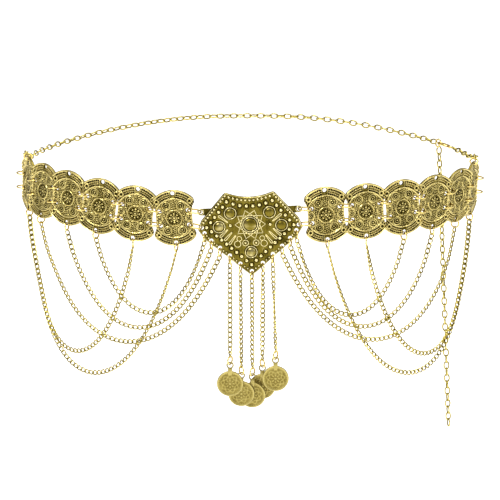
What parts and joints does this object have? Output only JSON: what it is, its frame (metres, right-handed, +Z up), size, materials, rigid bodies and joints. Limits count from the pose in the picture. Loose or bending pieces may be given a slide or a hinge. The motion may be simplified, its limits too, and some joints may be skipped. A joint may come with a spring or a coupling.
{
  "type": "waist chain",
  "caption": "Metal waist chain in its worn form: lobed cast plates and a pentagonal plaque joined by rings, with swag chains, hanging coins and a clasped back chain.",
  "frame": {"origin": "middle of the worn ring, at half the plates' height, where a wearer's waist would hold it", "axes": "+Z up, +X to the right end as seen from the front, -Y to the front where the plaque is"},
  "size_m": [0.3438, 0.2389, 0.2426],
  "materials": {
    "plate_gold": "antiqued cast metal",
    "plaque_gold": "dark antiqued cast metal",
    "ring_gold": "bright round wire",
    "chain_gold": "polished chain",
    "coin_gold": "matte cast metal"
  },
  "bodies": {
    "belt": {"plate_l1": "plate_gold", "plate_l2": "plate_gold", "plate_l3": "plate_gold", "plate_l4": "plate_gold", "plate_l5": "plate_gold", "plate_l6": "plate_gold", "plate_r1": "plate_gold", "plate_r2": "plate_gold", "plate_r3": "plate_gold", "plate_r4": "plate_gold", "plate_r5": "plate_gold", "plate_r6": "plate_gold", "plaque": "plaque_gold", "ring_plaque_l1_lower": "ring_gold", "ring_plaque_l1_upper": "ring_gold", "ring_l1_l2_lower": "ring_gold", "ring_l1_l2_upper": "ring_gold", "ring_l2_l3_lower": "ring_gold", "ring_l2_l3_upper": "ring_gold", "ring_l3_l4_lower": "ring_gold", "ring_l3_l4_upper": "ring_gold", "ring_l4_l5_lower": "ring_gold", "ring_l4_l5_upper": "ring_gold", "ring_l5_l6_lower": "ring_gold", "ring_l5_l6_upper": "ring_gold", "ring_plaque_r1_lower": "ring_gold", "ring_plaque_r1_upper": "ring_gold", "ring_r1_r2_lower": "ring_gold", "ring_r1_r2_upper": "ring_gold", "ring_r2_r3_lower": "ring_gold", "ring_r2_r3_upper": "ring_gold", "ring_r3_r4_lower": "ring_gold", "ring_r3_r4_upper": "ring_gold", "ring_r4_r5_lower": "ring_gold", "ring_r4_r5_upper": "ring_gold", "ring_r5_r6_lower": "ring_gold", "ring_r5_r6_upper": "ring_gold", "clasp_body": "ring_gold", "clasp_lever": "ring_gold", "swag_l3_hole1": "chain_gold", "swag_l4_hole2": "chain_gold", "swag_l5_hole3": "chain_gold", "swag_l6_pair": "chain_gold", "swag_r3_hole1": "chain_gold", "swag_r4_hole2": "chain_gold", "swag_r5_hole3": "chain_gold", "swag_r6_pair": "chain_gold", "pendant_chain_1": "chain_gold", "pendant_chain_2": "chain_gold", "pendant_chain_3": "chain_gold", "pendant_chain_4": "chain_gold", "pendant_chain_5": "chain_gold", "back_chain": "chain_gold", "clasp_chain": "chain_gold", "extender_chain": "chain_gold"},
    "coin_1": {"coin_1": "coin_gold"},
    "coin_2": {"coin_2": "coin_gold"},
    "coin_3": {"coin_3": "coin_gold"},
    "coin_4": {"coin_4": "coin_gold"},
    "coin_5": {"coin_5": "coin_gold"}
  },
  "joints": [
    {"name": "coin_1_swing", "type": "hinge", "parent": "belt", "child": "coin_1", "pos_m": [-0.0145, -0.1118, -0.10885], "axis": [0, 1, 0], "range_deg": [-35, 35]},
    {"name": "coin_2_swing", "type": "hinge", "parent": "belt", "child": "coin_2", "pos_m": [-0.0063, -0.1072, -0.11805], "axis": [0, 1, 0], "range_deg": [-35, 35]},
    {"name": "coin_3_swing", "type": "hinge", "parent": "belt", "child": "coin_3", "pos_m": [0.0017, -0.1049, -0.11985], "axis": [0, 1, 0], "range_deg": [-35, 35]},
    {"name": "coin_4_swing", "type": "hinge", "parent": "belt", "child": "coin_4", "pos_m": [0.009, -0.1004, -0.11465], "axis": [0, 1, 0], "range_deg": [-35, 35]},
    {"name": "coin_5_swing", "type": "hinge", "parent": "belt", "child": "coin_5", "pos_m": [0.0186, -0.1095, -0.10565], "axis": [0, 1, 0], "range_deg": [-35, 35]}
  ]
}
